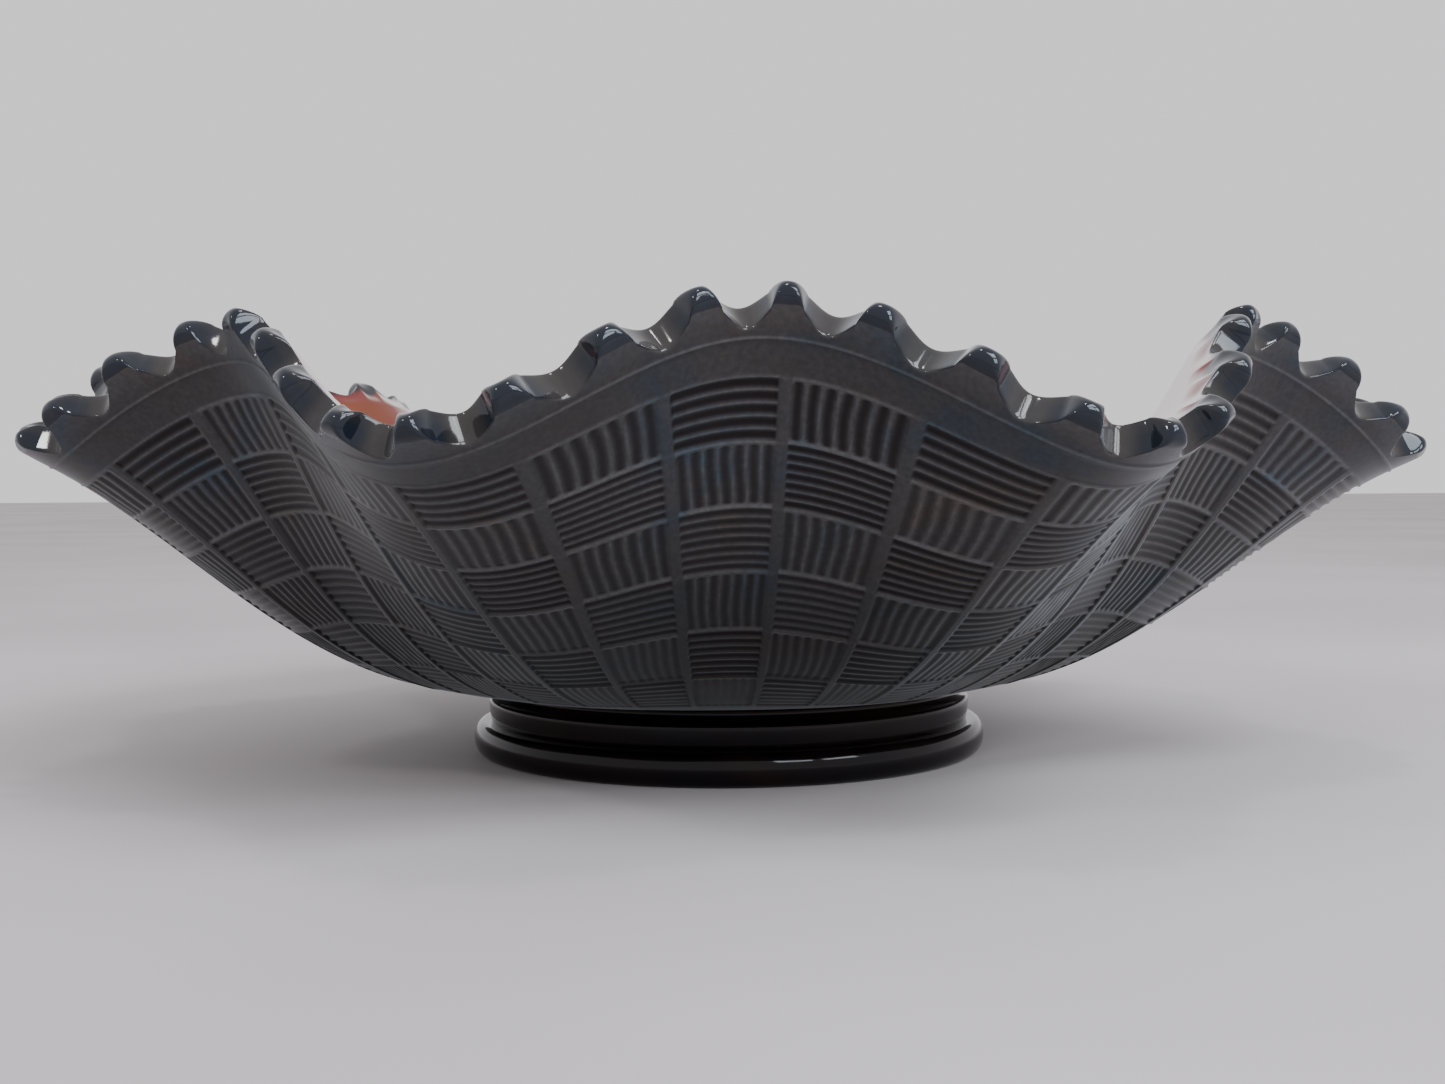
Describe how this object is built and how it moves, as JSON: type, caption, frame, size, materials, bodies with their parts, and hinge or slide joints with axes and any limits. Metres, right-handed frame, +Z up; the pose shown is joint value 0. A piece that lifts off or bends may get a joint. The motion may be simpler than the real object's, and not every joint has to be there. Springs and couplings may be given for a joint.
{
  "type": "ruffled glass bowl",
  "caption": "Round ruffled glass bowl with a basket-weave outside, a rim of rounded points and a collar foot to stand on.",
  "frame": {"origin": "centre of the bowl's outline in plan, on the surface that it stands on", "axes": "+Z up out of the bowl, -Y towards the front ruffle, +X to the right seen from the front"},
  "size_m": [0.2048, 0.2043, 0.0652],
  "materials": {
    "wall_glass": "pressed dark amethyst glass with a satin gunmetal iridescence",
    "floor_glass": "smooth dark amethyst glass with a strong multicolour iridescence",
    "foot_glass": "glossy near-black glass",
    "rim_glass": "glossy fire-polished near-black glass with blue-silver reflections"
  },
  "bodies": {
    "root": {"bowl_wall": "wall_glass", "bowl_floor": "floor_glass", "foot_collar": "foot_glass", "foot_bead": "foot_glass", "rim_points": "rim_glass", "weave_stakes": "wall_glass"}
  },
  "joints": []
}
